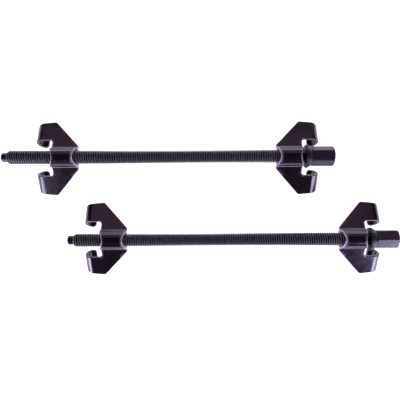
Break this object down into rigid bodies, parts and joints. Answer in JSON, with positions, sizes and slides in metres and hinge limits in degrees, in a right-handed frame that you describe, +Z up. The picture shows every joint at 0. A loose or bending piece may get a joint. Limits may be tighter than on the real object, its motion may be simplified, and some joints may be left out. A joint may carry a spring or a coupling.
{
  "type": "coil spring compressor",
  "caption": "Pair of coil spring compressors: on each, a threaded rod with a hex head runs through two pressed steel yokes with rolled hooks, one of which travels as the screw turns.",
  "frame": {"origin": "middle of the set's bounding box in X and Y, on the surface that the hooks rest on", "axes": "+X along both screws from the tip to the drive hex, +Y from tool 2 to tool 1, +Z up, off the surface that the tools lie on"},
  "size_m": [0.4302, 0.1728, 0.0453],
  "materials": {
    "screw_steel": "oiled black oxide on a rolled or cut thread",
    "hex_steel": "black oxide, rubbed where the socket bears",
    "collar_steel": "bright turned steel",
    "washer_steel": "black oxide",
    "yoke_paint": "glossy near-black coating with a purple tint over pressed steel",
    "saddle_steel": "the same coating over machined steel",
    "weld_metal": "rippled weld bead under the coating"
  },
  "bodies": {
    "tool1_frame": {"tool1_head_yoke": "yoke_paint", "tool1_guide_saddle": "saddle_steel", "tool1_head_welds": "weld_metal"},
    "tool1_screw": {"tool1_threaded_rod": "screw_steel", "tool1_drive_hex": "hex_steel", "tool1_thrust_collar": "collar_steel"},
    "tool1_washer": {"tool1_thrust_washer": "washer_steel"},
    "tool1_traveller": {"tool1_travel_yoke": "yoke_paint", "tool1_nut_saddle": "saddle_steel", "tool1_travel_welds": "weld_metal"},
    "tool2_frame": {"tool2_head_yoke": "yoke_paint", "tool2_guide_saddle": "saddle_steel", "tool2_head_welds": "weld_metal"},
    "tool2_screw": {"tool2_threaded_rod": "screw_steel", "tool2_drive_hex": "hex_steel", "tool2_thrust_collar": "collar_steel"},
    "tool2_washer": {"tool2_thrust_washer": "washer_steel"},
    "tool2_traveller": {"tool2_travel_yoke": "yoke_paint", "tool2_nut_saddle": "saddle_steel", "tool2_travel_welds": "weld_metal"}
  },
  "joints": [
    {"name": "tool1_screw_turn", "type": "hinge", "parent": "tool1_frame", "child": "tool1_screw", "pos_m": [0.0982, 0.04525, 0.03266], "axis": [-1, 0, 0], "range_deg": [-6120, 30240]},
    {"name": "tool1_travel", "type": "slide", "parent": "tool1_frame", "child": "tool1_traveller", "axis": [1, 0, 0], "range_m": [-0.043, 0.2105]},
    {"name": "tool1_washer_spin", "type": "hinge", "parent": "tool1_screw", "child": "tool1_washer", "pos_m": [0.0982, 0.04525, 0.03266], "axis": [1, 0, 0], "continuous": true},
    {"name": "tool2_screw_turn", "type": "hinge", "parent": "tool2_frame", "child": "tool2_screw", "pos_m": [0.1684, -0.04525, 0.03266], "axis": [-1, 0, 0], "range_deg": [-3600, 32760]},
    {"name": "tool2_travel", "type": "slide", "parent": "tool2_frame", "child": "tool2_traveller", "axis": [1, 0, 0], "range_m": [-0.0255, 0.228]},
    {"name": "tool2_washer_spin", "type": "hinge", "parent": "tool2_screw", "child": "tool2_washer", "pos_m": [0.1684, -0.04525, 0.03266], "axis": [1, 0, 0], "continuous": true},
    {"name": "tool2_lift", "type": "slide", "parent": "tool1_frame", "child": "tool2_frame", "axis": [0, 0, 1], "range_m": [0, 0.15]}
  ],
  "couplings": [
    {"joint": "tool1_travel", "follows": "tool1_screw_turn", "m_per_rad": 0.00039789},
    {"joint": "tool2_travel", "follows": "tool2_screw_turn", "m_per_rad": 0.00039789}
  ]
}
